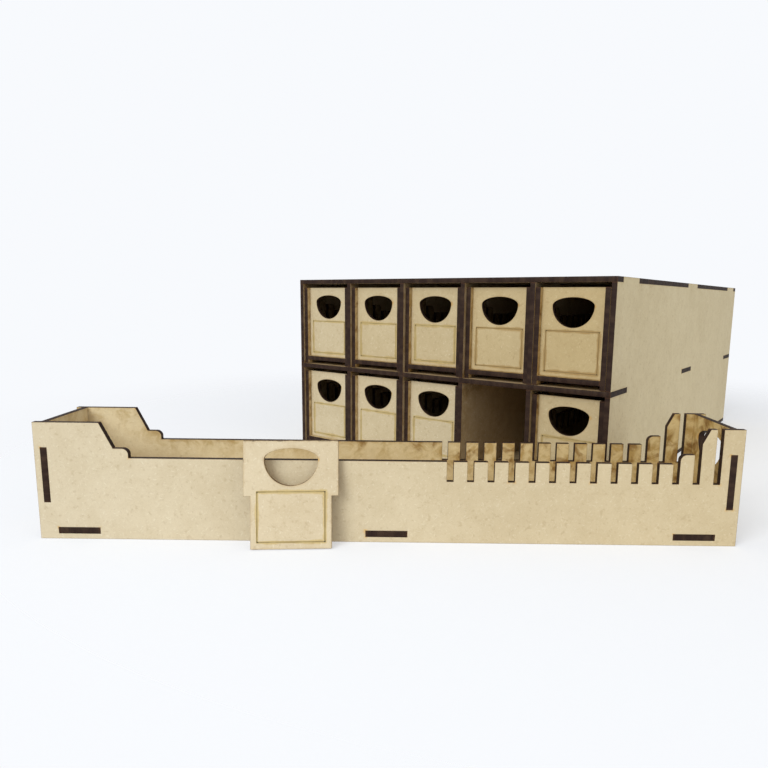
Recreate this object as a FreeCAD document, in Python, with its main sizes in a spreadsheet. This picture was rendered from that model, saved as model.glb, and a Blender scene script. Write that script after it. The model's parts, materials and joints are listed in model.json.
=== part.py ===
import FreeCAD, Part
import os
import Sketcher
from math import pi

# Storage cabinet for tabletop game pieces, cut from thin fibreboard.
#
# Two rows of five bays hold ten drawers.  Nine drawers are closed.  The tenth stands
# turned in front of the cabinet, and a divider that fits its slots leans on it.  Every
# piece is one flat board, held to its neighbours by tabs in slots.
#
# Frame: millimetres, +Z up.  The drawers open towards -Y.  The origin is the middle of
# the cabinet's underside.  A drawer is drawn with its own origin at the middle of its
# front, on its underside, with +Y towards its rear.

Vector = FreeCAD.Vector
COLUMNS = 5
CLOSED_DRAWERS = [("upper", column) for column in (1, 2, 3, 4, 5)]
CLOSED_DRAWERS += [("lower", column) for column in (1, 2, 3, 5)]
WHOLE_AT_FRONT = 2      # the partition whose front edge the shelf doesn't cross

# Driving dimensions: alias, millimetres or degrees, what it sets.
DIMENSIONS = [
    ("sheet", 3.0, "thickness of every board"),
    ("joint_gap", 0.05, "clearance on each side of a tab in its slot"),
    ("tab", 28.5, "length of the cabinet's tabs"),
    ("top_corner", 9.75, "top panel over each end of a side panel"),
    ("partition_tab", 60.0, "end of a partition to its tab"),
    ("side_play", 0.4, "drawer to bay wall on each side"),
    ("head_play", 3.0, "spare height of a bay"),
    ("depth_play", 2.0, "spare depth of a bay"),
    ("slide_gap", 0.2, "closed drawer above the floor of its bay"),
    ("drawer_length", 335.0, "drawer from front to back"),
    ("drawer_width", 44.0, "drawer across its sides"),
    ("drawer_height", 57.2, "drawer's ends"),
    ("low_drop", 16.9, "middle of a side plate below its ends"),
    ("ledge_drop", 12.3, "step beside each end below the ends"),
    ("ledge_flat", 4.1, "level part of the step"),
    ("ledge_round", 3.0, "radius of the step's corner"),
    ("slant_run", 6.1, "slant from the ends down to the step"),
    ("rear_high", 31.3, "full-height part of a side plate at the rear"),
    ("end_inset", 3.0, "end plates from the ends of the side plates"),
    ("end_tab_low", 18.2, "underside of an end plate's tabs"),
    ("end_tab_drop", 12.2, "top of an end plate's tabs below the drawer's top"),
    ("floor_raise", 2.7, "drawer's floor above its underside"),
    ("floor_tab", 20.0, "length of the floor's tabs"),
    ("floor_tab_front", 10.3, "front end of the floor to its first tab"),
    ("floor_tab_rear", 8.9, "rear end of the floor to its last tab"),
    ("slot_count", 14, "divider slots in each side plate"),
    ("slot_pitch", 9.72, "one divider slot to the next"),
    ("slot_play", 0.13, "divider slot wider than a board"),
    ("first_slot", 10.2, "drawer's front to its first divider slot"),
    ("slot_depth", 9.7, "divider slots below the low edge"),
    ("hole_radius", 12.4, "round lower part of a front's finger hole"),
    ("hole_dome", 4.8, "rise of the finger hole's half-elliptical top"),
    ("hole_drop", 5.7, "finger hole below the drawer's top"),
    ("label_side", 3.1, "scored frame to the edge of its board"),
    ("label_foot", 2.8, "scored frame above the foot of a front"),
    ("label_gap", 2.1, "scored frame below a front's finger hole"),
    ("score_width", 0.5, "scored line across"),
    ("score_depth", 0.3, "scored line into the board"),
    ("divider_play", 0.2, "divider to each side plate"),
    ("divider_foot", 0.1, "divider above the drawer's floor"),
    ("divider_drop", 0.9, "divider below the drawer's top"),
    ("divider_hole_radius", 12.45, "round lower part of the divider's finger hole"),
    ("divider_hole_dome", 5.1, "rise of that hole's half-elliptical top"),
    ("divider_hole_drop", 3.5, "that hole below the divider's top"),
    ("divider_label_foot", 3.3, "scored frame above the divider's foot"),
    ("divider_label_gap", 2.7, "scored frame below the divider's finger hole"),
    ("loose_turn", 126.6, "turn of the tenth drawer, degrees"),
    ("loose_gap", 11.1, "tenth drawer's side to the cabinet's corner"),
    ("loose_ahead", 46.7, "tenth drawer's front beyond that corner"),
    ("lean_tilt", 8.5, "tilt of the leaning divider, degrees"),
    ("lean_twist", 4.0, "turn of the leaning divider, degrees"),
    ("lean_place", 212.2, "tenth drawer's front to the leaning divider"),
    ("lean_gap", 0.3, "leaning divider to the edge that it leans on"),
    ("recess_upper_1", 1.2, "first upper drawer behind the front edges"),
    ("recess_upper_2", 1.3, "second upper drawer"),
    ("recess_upper_3", 1.9, "third upper drawer"),
    ("recess_upper_4", 1.9, "fourth upper drawer"),
    ("recess_upper_5", 0.3, "fifth upper drawer"),
    ("recess_lower_1", 1.2, "first lower drawer"),
    ("recess_lower_2", 1.3, "second lower drawer"),
    ("recess_lower_3", 1.9, "third lower drawer"),
    ("recess_lower_5", 1.9, "fifth lower drawer"),
]
OVERRUN = 1.0           # how far a cut runs past the edge of its board
POINT_TOLERANCE = 1e-4

doc = FreeCAD.newDocument("piece_cabinet")
dims = doc.addObject("Spreadsheet::Sheet", "dims")
for row, (alias, value, note) in enumerate(DIMENSIONS, start=1):
    dims.set(f"A{row}", alias)
    dims.set(f"B{row}", str(value))
    dims.set(f"C{row}", note)
    dims.setAlias(f"B{row}", alias)
doc.recompute()

# ------------------------------------------------------------------ worked-out sizes
SHEET = "dims.sheet"
GAP = "dims.joint_gap"
BAY_WIDTH = "(dims.drawer_width + 2 * dims.side_play)"
BAY_HEIGHT = "(dims.drawer_height + dims.head_play)"
COLUMN_PITCH = f"({BAY_WIDTH} + {SHEET})"
WIDTH = f"({COLUMNS} * {COLUMN_PITCH} + {SHEET})"
HEIGHT = f"(2 * {BAY_HEIGHT} + 3 * {SHEET})"
INNER_DEPTH = "(dims.drawer_length + dims.depth_play)"
DEPTH = f"({INNER_DEPTH} + {SHEET})"
SIDE_X = f"({WIDTH} / 2 - {SHEET})"                 # inner face of a side panel
CEILING = f"({HEIGHT} - {SHEET})"
SHELF_LOW = f"({SHEET} + {BAY_HEIGHT})"
SHELF_HIGH = f"({SHELF_LOW} + {SHEET})"
HALF_LAP = f"({INNER_DEPTH} / 2)"

FLOOR_TOP = f"(dims.floor_raise + {SHEET})"
INNER_HALF = f"(dims.drawer_width / 2 - {SHEET})"   # inner face of a side plate
LOW_EDGE = "(dims.drawer_height - dims.low_drop)"
LEDGE = "(dims.drawer_height - dims.ledge_drop)"
LEDGE_RUN = "(dims.ledge_flat + dims.ledge_round)"
FRONT_STEP = "(dims.first_slot + 2 * dims.slot_pitch)"
REAR_STEP = f"(dims.drawer_length - dims.rear_high - dims.slant_run - {LEDGE_RUN})"
SLOT_FOOT = f"({LOW_EDGE} - dims.slot_depth)"
END_TAB_HIGH = "(dims.drawer_height - dims.end_tab_drop)"
REAR_FLOOR_TAB = "(dims.drawer_length - dims.floor_tab_rear - dims.floor_tab)"
FLOOR_TABS = [
    "dims.floor_tab_front",
    f"(dims.floor_tab_front + {REAR_FLOOR_TAB}) / 2",
    REAR_FLOOR_TAB,
]

DIVIDER_RAISE = f"({FLOOR_TOP} + dims.divider_foot)"
DIVIDER_HEIGHT = f"(dims.drawer_height - dims.divider_drop - {DIVIDER_RAISE})"
SHOULDER = f"({SLOT_FOOT} - {DIVIDER_RAISE})"
DIVIDER_HALF = f"({INNER_HALF} - dims.divider_play)"


def number(expression):
    """The present value of an expression on the sheet."""
    return float(dims.evalExpression(expression))


# ------------------------------------------------------------------ sketches
def bind(sketch, kind, *rule):
    """Adds a constraint whose value is the expression that ends the rule."""
    *places, expression = rule
    index = sketch.addConstraint(Sketcher.Constraint(kind, *places, number(expression)))
    sketch.setExpression(f"Constraints[{index}]", expression)


def pin(sketch, edge, end, across, up):
    """Holds one point of the sketch at its two distances from the origin."""
    bind(sketch, "DistanceX", -1, 1, edge, end, across)
    bind(sketch, "DistanceY", -1, 1, edge, end, up)


def polygon(sketch, corners):
    """A closed outline through corners, each a pair of expressions."""
    first = sketch.GeometryCount
    points = [Vector(number(across), number(up), 0) for across, up in corners]
    for start, end in zip(points, points[1:] + points[:1]):
        sketch.addGeometry(Part.LineSegment(start, end), False)
    for i, (across, up) in enumerate(corners):
        following = first + (i + 1) % len(corners)
        sketch.addConstraint(Sketcher.Constraint("Coincident", first + i, 2, following, 1))
        pin(sketch, first + i, 1, across, up)


def box_corners(left, low, right, high):
    """The corners of a rectangle between four expressions."""
    return [(left, low), (right, low), (right, high), (left, high)]


def plane_coordinates(plane, point):
    """A point's two coordinates in an origin plane's sketch."""
    axes = {"XY_Plane": "xy", "XZ_Plane": "xz", "YZ_Plane": "yz"}[plane]
    return [getattr(point, axis) for axis in axes]


class Board:
    """A flat board: an outline padded by one sheet, then cut and rounded."""

    def __init__(self, name, plane, outline):
        self.name = name
        self.plane = plane
        self.body = doc.addObject("PartDesign::Body", name)
        blank = self.sketch("outline")
        polygon(blank, outline)
        pad = self.body.newObject("PartDesign::Pad", f"{name}_pad")
        pad.Profile = blank
        pad.Reversed = self.faces_back()
        pad.setExpression("Length", SHEET)
        doc.recompute()

    def faces_back(self):
        """True if the sketch plane's normal points away from the board."""
        return self.plane == "XZ_Plane"

    def sketch(self, purpose):
        """A sketch on one of the body's own origin planes."""
        sketch = self.body.newObject("Sketcher::SketchObject", f"{self.name}_{purpose}")
        support = next(f for f in self.body.Origin.OriginFeatures if f.Role == self.plane)
        sketch.AttachmentSupport = [(support, "")]
        sketch.MapMode = "FlatFace"
        return sketch

    def require_change(self, before, feature):
        """Stops if the newest feature left the board as it was."""
        doc.recompute()
        if abs(self.body.Shape.Volume - before) < POINT_TOLERANCE:
            raise RuntimeError(f"{self.name}: {feature} changed nothing")

    def pocket(self, sketch, purpose, depth=None):
        """Cuts the sketch through the board, or to a depth below its drawn face."""
        before = self.body.Shape.Volume
        pocket = self.body.newObject("PartDesign::Pocket", f"{self.name}_{purpose}_cut")
        pocket.Profile = sketch
        pocket.Reversed = not self.faces_back()
        if depth is None:
            pocket.Type = "ThroughAll"
        else:
            pocket.setExpression("Length", depth)
        self.require_change(before, purpose)
        return pocket

    def cut(self, purpose, rectangles):
        """Cuts rectangles that lie apart, each left, low, right, high."""
        sketch = self.sketch(purpose)
        for edges in rectangles:
            polygon(sketch, box_corners(*edges))
        return self.pocket(sketch, purpose)

    def repeat(self, pocket, count, length):
        """Repeats a pocket along its sketch's first axis."""
        before = self.body.Shape.Volume
        pattern = self.body.newObject("PartDesign::LinearPattern", f"{self.name}_pattern")
        pattern.Originals = [pocket]
        pattern.Direction = (pocket.Profile[0], ["H_Axis"])
        pattern.setExpression("Length", length)
        pattern.setExpression("Occurrences", count)
        self.body.Tip = pattern
        self.require_change(before, "pattern")

    def round_corners(self, corners, radius):
        """Rounds the edges that run through the board at corners of its outline."""
        before = self.body.Shape.Volume
        spots = [(number(across), number(up)) for across, up in corners]
        tip = self.body.Tip
        names = [f"Edge{i}" for i, edge in enumerate(tip.Shape.Edges, start=1)
                 if any(self.crosses(edge, spot) for spot in spots)]
        if len(names) != len(spots):
            raise RuntimeError(f"{self.name}: {len(names)} of {len(spots)} corners found")
        fillet = self.body.newObject("PartDesign::Fillet", f"{self.name}_rounding")
        fillet.Base = (tip, names)
        fillet.setExpression("Radius", radius)
        self.require_change(before, "rounding")

    def crosses(self, edge, spot):
        """True if the edge runs through the thickness at a spot."""
        ends = [plane_coordinates(self.plane, vertex.Point) for vertex in edge.Vertexes]
        return all(abs(a - b) < POINT_TOLERANCE for end in ends for a, b in zip(end, spot))

    def finger_hole(self, level, radius, dome):
        """Cuts a half disc below half an ellipse, with its centre line at a level."""
        sketch = self.sketch("finger_hole")
        reach, rise = number(radius), number(dome)
        middle = Vector(0, number(level), 0)
        bowl_circle = Part.Circle(middle, Vector(0, 0, 1), reach)
        ellipse = Part.Ellipse(middle + Vector(reach, 0, 0), middle + Vector(0, rise, 0), middle)
        bowl = sketch.addGeometry(Part.ArcOfCircle(bowl_circle, pi, 2 * pi), False)
        top = sketch.addGeometry(Part.ArcOfEllipse(ellipse, 0, pi), False)
        sketch.exposeInternalGeometry(top)
        long_axis, short_axis = top + 1, top + 2
        start, end, centre, vertical = 1, 2, 3, -2
        for rule in (("PointOnObject", bowl, centre, vertical),
                     ("Coincident", top, centre, bowl, centre),
                     ("Horizontal", bowl, start, bowl, centre),
                     ("Horizontal", bowl, end, bowl, centre),
                     ("Horizontal", long_axis),
                     ("Coincident", bowl, end, top, start),
                     ("Coincident", bowl, start, top, end)):
            sketch.addConstraint(Sketcher.Constraint(*rule))
        bind(sketch, "DistanceY", -1, 1, bowl, centre, level)
        bind(sketch, "Radius", bowl, radius)
        bind(sketch, "Distance", short_axis, f"2 * {dome}")
        self.pocket(sketch, "finger_hole")

    def score_frame(self, half_width, low, high):
        """Scores a rectangular line into the drawn face."""
        sketch = self.sketch("label")
        half_line = "dims.score_width / 2"
        for sign in ("+", "-"):
            outer = f"({half_width} {sign} {half_line})"
            polygon(sketch, box_corners(f"-{outer}", f"{low} - (0 {sign} {half_line})",
                                        outer, f"{high} {sign} {half_line}"))
        self.pocket(sketch, "label", "dims.score_depth")

    def place(self, **axes):
        """Binds the board's place along x, y or z."""
        bind_place(self.body, **axes)
        return self.body


def bind_place(thing, turn=None, about=Vector(0, 0, 1), **axes):
    """Binds an object's place, and its turn about an axis, to expressions."""
    thing.Placement = FreeCAD.Placement(Vector(), FreeCAD.Rotation(about, 1.0))
    thing.setExpression("Placement.Rotation.Angle", turn or "0")
    for axis, expression in axes.items():
        thing.setExpression(f"Placement.Base.{axis}", expression)


def group(label, *pieces):
    """Pieces joined in one object that can be placed again."""
    made = doc.addObject("Part::Compound", label)
    made.Label = label
    made.Links = list(pieces)
    return made


# ------------------------------------------------------------------ drawer boards
def side_plate():
    """Side of a drawer: stepped top edge, divider slots and slots for the tabs."""
    outline = [
        ("0", "0"),
        ("dims.drawer_length", "0"),
        ("dims.drawer_length", "dims.drawer_height"),
        ("dims.drawer_length - dims.rear_high", "dims.drawer_height"),
        ("dims.drawer_length - dims.rear_high - dims.slant_run", LEDGE),
        (REAR_STEP, LEDGE),
        (REAR_STEP, LOW_EDGE),
        (FRONT_STEP, LOW_EDGE),
        (FRONT_STEP, LEDGE),
        (f"{FRONT_STEP} - {LEDGE_RUN}", LEDGE),
        (f"{FRONT_STEP} - {LEDGE_RUN} - dims.slant_run", "dims.drawer_height"),
        ("0", "dims.drawer_height"),
    ]
    board = Board("side_plate", "YZ_Plane", outline)
    board.round_corners([(REAR_STEP, LEDGE), (FRONT_STEP, LEDGE)], "dims.ledge_round")
    end_slots = [
        (f"{start} - {GAP}", f"dims.end_tab_low - {GAP}",
         f"{start} + {SHEET} + {GAP}", f"{END_TAB_HIGH} + {GAP}")
        for start in ("dims.end_inset", f"(dims.drawer_length - dims.end_inset - {SHEET})")
    ]
    floor_slots = [
        (f"{start} - {GAP}", f"dims.floor_raise - {GAP}",
         f"{start} + dims.floor_tab + {GAP}", f"{FLOOR_TOP} + {GAP}")
        for start in FLOOR_TABS
    ]
    board.cut("tab_slots", end_slots + floor_slots)
    slot = board.cut("divider_slot", [(
        "dims.first_slot", SLOT_FOOT,
        f"dims.first_slot + {SHEET} + dims.slot_play", f"dims.drawer_height + {OVERRUN}")])
    board.repeat(slot, "dims.slot_count", "(dims.slot_count - 1) * dims.slot_pitch")
    return board.body


def end_plate(name):
    """End of a drawer: it stands on the floor and its tabs reach through the sides."""
    half, reach = INNER_HALF, "(dims.drawer_width / 2)"
    right = [
        (half, FLOOR_TOP), (half, "dims.end_tab_low"), (reach, "dims.end_tab_low"),
        (reach, END_TAB_HIGH), (half, END_TAB_HIGH), (half, "dims.drawer_height"),
    ]
    left = [(f"-{across}", up) for across, up in reversed(right)]
    return Board(name, "XZ_Plane", right + left)


def front_plate():
    """Front of a drawer, with its finger hole and scored frame."""
    board = end_plate("front_plate")
    hole_level = "(dims.drawer_height - dims.hole_drop - dims.hole_dome)"
    board.finger_hole(hole_level, "dims.hole_radius", "dims.hole_dome")
    board.score_frame(f"({INNER_HALF} - dims.label_side)", f"({FLOOR_TOP} + dims.label_foot)",
                      f"({hole_level} - dims.hole_radius - dims.label_gap)")
    return board.place(y="dims.end_inset")


def floor_plate():
    """Floor of a drawer: as long as the sides, with three tabs on each side."""
    half, reach = INNER_HALF, "(dims.drawer_width / 2)"
    right = [(half, "0")]
    for start in FLOOR_TABS:
        end = f"{start} + dims.floor_tab"
        right += [(half, start), (reach, start), (reach, end), (half, end)]
    right += [(half, "dims.drawer_length")]
    left = [(f"-{across}", along) for across, along in reversed(right)]
    return Board("floor_plate", "XY_Plane", right + left).place(z="dims.floor_raise")


def divider_plate():
    """Divider: its shoulders rest in a pair of slots and its foot reaches the floor."""
    foot, reach = DIVIDER_HALF, "(dims.drawer_width / 2)"
    right = [(foot, "0"), (foot, SHOULDER), (reach, SHOULDER), (reach, DIVIDER_HEIGHT)]
    left = [(f"-{across}", up) for across, up in reversed(right)]
    board = Board("divider_board", "XZ_Plane", right + left)
    hole_level = f"({DIVIDER_HEIGHT} - dims.divider_hole_drop - dims.divider_hole_dome)"
    board.finger_hole(hole_level, "dims.divider_hole_radius", "dims.divider_hole_dome")
    board.score_frame(f"({DIVIDER_HALF} - dims.label_side)", "dims.divider_label_foot",
                      f"({hole_level} - dims.divider_hole_radius - dims.divider_label_gap)")
    return board.body


# ------------------------------------------------------------------ cabinet boards
# Spans of tabs along the depth, measured from the cabinet's front.
MIDDLE_TAB = (f"({DEPTH} - dims.tab) / 2", f"({DEPTH} + dims.tab) / 2")
FRONT_FINGER = ("dims.top_corner", "(dims.top_corner + dims.tab)")
REAR_FINGER = (f"({DEPTH} - dims.top_corner - dims.tab)", f"({DEPTH} - dims.top_corner)")
FINGERS = [FRONT_FINGER, MIDDLE_TAB, REAR_FINGER]
PARTITION_TABS = [
    ("dims.partition_tab", "(dims.partition_tab + dims.tab)"),
    (f"({INNER_DEPTH} - dims.partition_tab - dims.tab)", f"({INNER_DEPTH} - dims.partition_tab)"),
]
BACK_TABS = [(f"{side} * {COLUMN_PITCH} - dims.tab / 2", f"{side} * {COLUMN_PITCH} + dims.tab / 2")
             for side in (-1, 1)]
FULL_OUTLINE = box_corners(f"-{WIDTH} / 2", "0", f"{WIDTH} / 2", DEPTH)


def partition_x(number_from_left):
    """Middle of a partition across the cabinet."""
    return f"(({number_from_left} - {COLUMNS} / 2) * {COLUMN_PITCH})"


def partition_slots():
    """Slots in the top or bottom panel for every partition's tabs."""
    return [
        (f"{partition_x(i)} - {SHEET} / 2 - {GAP}", f"{start} - {GAP}",
         f"{partition_x(i)} + {SHEET} / 2 + {GAP}", f"{end} + {GAP}")
        for i in range(1, COLUMNS) for start, end in PARTITION_TABS
    ]


def back_notches():
    """Notches in a panel's rear edge for the back panel's tabs."""
    return [(f"{start} - {GAP}", f"{INNER_DEPTH} - {GAP}", f"{end} + {GAP}", f"{DEPTH} + {OVERRUN}")
            for start, end in BACK_TABS]


def both_edges(spans):
    """Cuts in the left and right edges of a panel that leave one sheet's depth out."""
    left = [(f"-{WIDTH} / 2 - {OVERRUN}", start, f"-{SIDE_X}", end) for start, end in spans]
    right = [(SIDE_X, start, f"{WIDTH} / 2 + {OVERRUN}", end) for start, end in spans]
    return left + right


def top_panel():
    """Top: it lies on the side panels, whose fingers come up through its edges."""
    board = Board("top_panel", "XY_Plane", FULL_OUTLINE)
    notches = [(f"{start} - {GAP}", f"{end} + {GAP}") for start, end in FINGERS]
    board.cut("side_notches", both_edges(notches) + back_notches())
    board.cut("partition_slots", partition_slots())
    return board.place(y=f"-{DEPTH} / 2", z=CEILING)


EDGE_GAPS = [("dims.tab", f"({DEPTH} - dims.tab) / 2"),
             (f"({DEPTH} + dims.tab) / 2", f"{DEPTH} - dims.tab")]


def bottom_panel():
    """Bottom: three tabs on each edge reach through the side panels."""
    board = Board("bottom_panel", "XY_Plane", FULL_OUTLINE)
    board.cut("side_notches", both_edges(EDGE_GAPS) + back_notches())
    board.cut("partition_slots", partition_slots())
    return board.place(y=f"-{DEPTH} / 2")


def middle_shelf():
    """Shelf: tabs through the sides and the back, and laps for the partitions."""
    board = Board("middle_shelf", "XY_Plane", FULL_OUTLINE)
    rear_edges = [f"-{SIDE_X}"] + [edge for span in BACK_TABS for edge in span] + [SIDE_X]
    rear_gaps = [(start, INNER_DEPTH, end, f"{DEPTH} + {OVERRUN}")
                 for start, end in zip(rear_edges[::2], rear_edges[1::2])]
    board.cut("edge_gaps", both_edges(EDGE_GAPS) + rear_gaps)
    laps = []
    for i in range(1, COLUMNS):
        from_front = i == WHOLE_AT_FRONT
        start = f"-{OVERRUN}" if from_front else f"{HALF_LAP} - {GAP}"
        end = f"{HALF_LAP} + {GAP}" if from_front else f"{INNER_DEPTH} + {OVERRUN}"
        laps.append((f"{partition_x(i)} - {SHEET} / 2 - {GAP}", start,
                     f"{partition_x(i)} + {SHEET} / 2 + {GAP}", end))
    board.cut("partition_laps", laps)
    return board.place(y=f"-{DEPTH} / 2", z=SHELF_LOW)


def side_panel(label, x):
    """Side: fingers up through the top, and slots for the shelf and the bottom."""
    board = Board(label, "YZ_Plane", box_corners("0", "0", DEPTH, HEIGHT))
    finger_edges = [f"-{OVERRUN}"] + [edge for span in FINGERS for edge in span]
    finger_edges.append(f"{DEPTH} + {OVERRUN}")
    top_gaps = [(start, CEILING, end, f"{HEIGHT} + {OVERRUN}")
                for start, end in zip(finger_edges[::2], finger_edges[1::2])]
    tabs = [(f"-{OVERRUN}", f"dims.tab + {GAP}"),
            (f"{MIDDLE_TAB[0]} - {GAP}", f"{MIDDLE_TAB[1]} + {GAP}"),
            (f"{DEPTH} - dims.tab - {GAP}", f"{DEPTH} + {OVERRUN}")]
    bottom_slots = [(start, f"-{OVERRUN}", end, SHEET) for start, end in tabs]
    shelf_slots = [(start, f"{SHELF_LOW} - {GAP}", end, f"{SHELF_HIGH} + {GAP}")
                   for start, end in tabs]
    board.cut("panel_slots", top_gaps + bottom_slots + shelf_slots)
    return board.place(x=x, y=f"-{DEPTH} / 2")


def back_panel():
    """Back: between the sides, with tabs up and down and slots for the shelf's tabs."""
    tops = [corner for start, end in reversed(BACK_TABS)
            for corner in ((end, CEILING), (end, HEIGHT), (start, HEIGHT), (start, CEILING))]
    feet = [corner for start, end in BACK_TABS
            for corner in ((start, SHEET), (start, "0"), (end, "0"), (end, SHEET))]
    outline = ([(f"-{SIDE_X}", SHEET)] + feet + [(SIDE_X, SHEET), (SIDE_X, CEILING)]
               + tops + [(f"-{SIDE_X}", CEILING)])
    board = Board("back_panel", "XZ_Plane", outline)
    board.cut("shelf_slots", [
        (f"{start} - {GAP}", f"{SHELF_LOW} - {GAP}", f"{end} + {GAP}", f"{SHELF_HIGH} + {GAP}")
        for start, end in BACK_TABS])
    return board.place(y=f"{DEPTH} / 2 - {SHEET}")


def partition(i):
    """Upright between two columns, lapped half way with the shelf."""
    label = f"partition_{i}"
    board = Board(label, "YZ_Plane", box_corners("0", "0", INNER_DEPTH, HEIGHT))
    edges = [f"-{OVERRUN}"] + [edge for span in PARTITION_TABS for edge in span]
    edges.append(f"{INNER_DEPTH} + {OVERRUN}")
    gaps = list(zip(edges[::2], edges[1::2]))
    board.cut("tab_gaps", [(start, CEILING, end, f"{HEIGHT} + {OVERRUN}") for start, end in gaps]
              + [(start, f"-{OVERRUN}", end, SHEET) for start, end in gaps])
    from_rear = i == WHOLE_AT_FRONT
    start = f"{HALF_LAP} - {GAP}" if from_rear else f"-{OVERRUN}"
    end = f"{INNER_DEPTH} + {OVERRUN}" if from_rear else f"{HALF_LAP} + {GAP}"
    board.cut("shelf_lap", [(start, f"{SHELF_LOW} - {GAP}", end, f"{SHELF_HIGH} + {GAP}")])
    return board.place(x=f"{partition_x(i)} - {SHEET} / 2", y=f"-{DEPTH} / 2")


def cabinet_nodes():
    """The ten boards of the cabinet."""
    nodes = [top_panel(), bottom_panel(), middle_shelf(), back_panel()]
    nodes += [side_panel("left_side_panel", f"-{WIDTH} / 2"), side_panel("right_side_panel", SIDE_X)]
    nodes += [partition(i) for i in range(1, COLUMNS)]
    return nodes


# ------------------------------------------------------------------ drawers
def drawer_pieces():
    """One drawer's boards in its own frame, by name."""
    side = side_plate()
    left, right = group("left_side_plate", side), group("right_side_plate", side)
    bind_place(left, x="-dims.drawer_width / 2")
    bind_place(right, x=INNER_HALF)
    back = end_plate("back_plate").place(
        y=f"dims.drawer_length - dims.end_inset - {SHEET}")
    return {"front": front_plate(), "back": back, "floor": floor_plate(),
            "left": left, "right": right}


def closed_drawer(pieces, row, column):
    """A drawer in its bay: front, back, floor and the pair of sides."""
    shelf = SHELF_HIGH if row == "upper" else SHEET
    place = {
        "x": f"({column} - ({COLUMNS} + 1) / 2) * {COLUMN_PITCH}",
        "y": f"-{DEPTH} / 2 + dims.recess_{row}_{column}",
        "z": f"{shelf} + dims.slide_gap",
    }
    name = f"drawer_{row}_{column}"
    nodes = [group(f"{name}_{part}", pieces[part]) for part in ("front", "back", "floor")]
    nodes.append(group(f"{name}_sides", pieces["left"], pieces["right"]))
    for node in nodes:
        bind_place(node, **place)
    return nodes


# The tenth drawer passes the cabinet's front right corner.  Its own axes across and
# along are (cos, sin) and (-sin, cos) of its turn.
TURN_COS, TURN_SIN = "cos(dims.loose_turn)", "sin(dims.loose_turn)"
LOOSE_ACROSS = "(dims.drawer_width / 2 + dims.loose_gap)"
LOOSE_X = f"({WIDTH} / 2 - {LOOSE_ACROSS} * {TURN_COS} + dims.loose_ahead * {TURN_SIN})"
LOOSE_Y = f"(-{DEPTH} / 2 - {LOOSE_ACROSS} * {TURN_SIN} - dims.loose_ahead * {TURN_COS})"


def loose_drawer(pieces):
    """The tenth drawer, turned, on the surface that the cabinet stands on."""
    parts = {"front": "front", "back": "back", "floor": "floor",
             "near_side": "left", "far_side": "right"}
    nodes = [group(f"loose_drawer_{part}", pieces[source]) for part, source in parts.items()]
    for node in nodes:
        bind_place(node, turn="dims.loose_turn", x=LOOSE_X, y=LOOSE_Y)
    return nodes


def leaning_divider():
    """The divider with its foot out and its rear face on the near side's low edge."""
    tilted = group("tilted_divider", divider_plate())
    bind_place(tilted, turn="dims.lean_tilt", about=Vector(-1, 0, 0))
    node = group("divider_plate", tilted)
    lean_run = f"{LOW_EDGE} * tan(dims.lean_tilt)"
    thickness = f"{SHEET} / cos(dims.lean_tilt)"
    twist_run = "dims.drawer_width / 2 * tan(dims.lean_twist)"
    out = f"(dims.drawer_width / 2 + {lean_run} + {thickness} + {twist_run} + dims.lean_gap)"
    bind_place(node, turn="dims.loose_turn - 90 + dims.lean_twist",
               x=f"{LOOSE_X} - {out} * {TURN_COS} - dims.lean_place * {TURN_SIN}",
               y=f"{LOOSE_Y} - {out} * {TURN_SIN} + dims.lean_place * {TURN_COS}",
               z=f"{SHEET} * sin(dims.lean_tilt)")
    return node


def write_parts(nodes):
    """Checks the document and every node, then writes one file a node."""
    doc.recompute()
    for thing in doc.Objects:
        if {"Invalid", "Error"} & set(thing.State):
            raise RuntimeError(f"{thing.Label}: {thing.State}")
    for node in nodes:
        if node.Shape.isNull() or not node.Shape.isValid():
            raise RuntimeError(f"{node.Label}: bad shape")
    os.makedirs("parts", exist_ok=True)
    for node in nodes:
        node.Shape.exportStep(f"parts/{node.Label}.step")


all_nodes = cabinet_nodes()
shared_pieces = drawer_pieces()
for drawer_row, drawer_column in CLOSED_DRAWERS:
    all_nodes += closed_drawer(shared_pieces, drawer_row, drawer_column)
all_nodes += loose_drawer(shared_pieces)
all_nodes.append(leaning_divider())
write_parts(all_nodes)
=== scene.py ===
"""Drawer cabinet for game pieces, cut from thin fibreboard.

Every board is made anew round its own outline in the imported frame: two flat faces with
smoke marks round each cut, a charred edge with softened lips, and a scored label line.
"""

import json
import math
from collections import namedtuple

import bpy
import numpy as np
from bpy.props import FloatProperty, FloatVectorProperty, PointerProperty
from mathutils import Matrix, Vector
from mathutils.geometry import delaunay_2d_cdt


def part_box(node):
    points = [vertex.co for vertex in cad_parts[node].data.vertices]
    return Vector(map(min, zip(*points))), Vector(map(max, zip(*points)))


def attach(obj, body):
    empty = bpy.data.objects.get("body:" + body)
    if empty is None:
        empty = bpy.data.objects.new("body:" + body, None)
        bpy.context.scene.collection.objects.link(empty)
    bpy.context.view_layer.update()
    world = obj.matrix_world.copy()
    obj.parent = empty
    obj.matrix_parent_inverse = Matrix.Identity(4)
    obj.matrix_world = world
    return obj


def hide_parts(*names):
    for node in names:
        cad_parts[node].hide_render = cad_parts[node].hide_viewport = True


bl_info = {
    "name": "Game Piece Drawer Cabinet",
    "version": (1, 0, 0),
    "blender": (4, 5, 0),
    "location": "View3D > Sidebar > Cabinet",
    "description": "Finishes the fibreboard cabinet, its drawers and the divider plate",
    "category": "Object",
}

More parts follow.
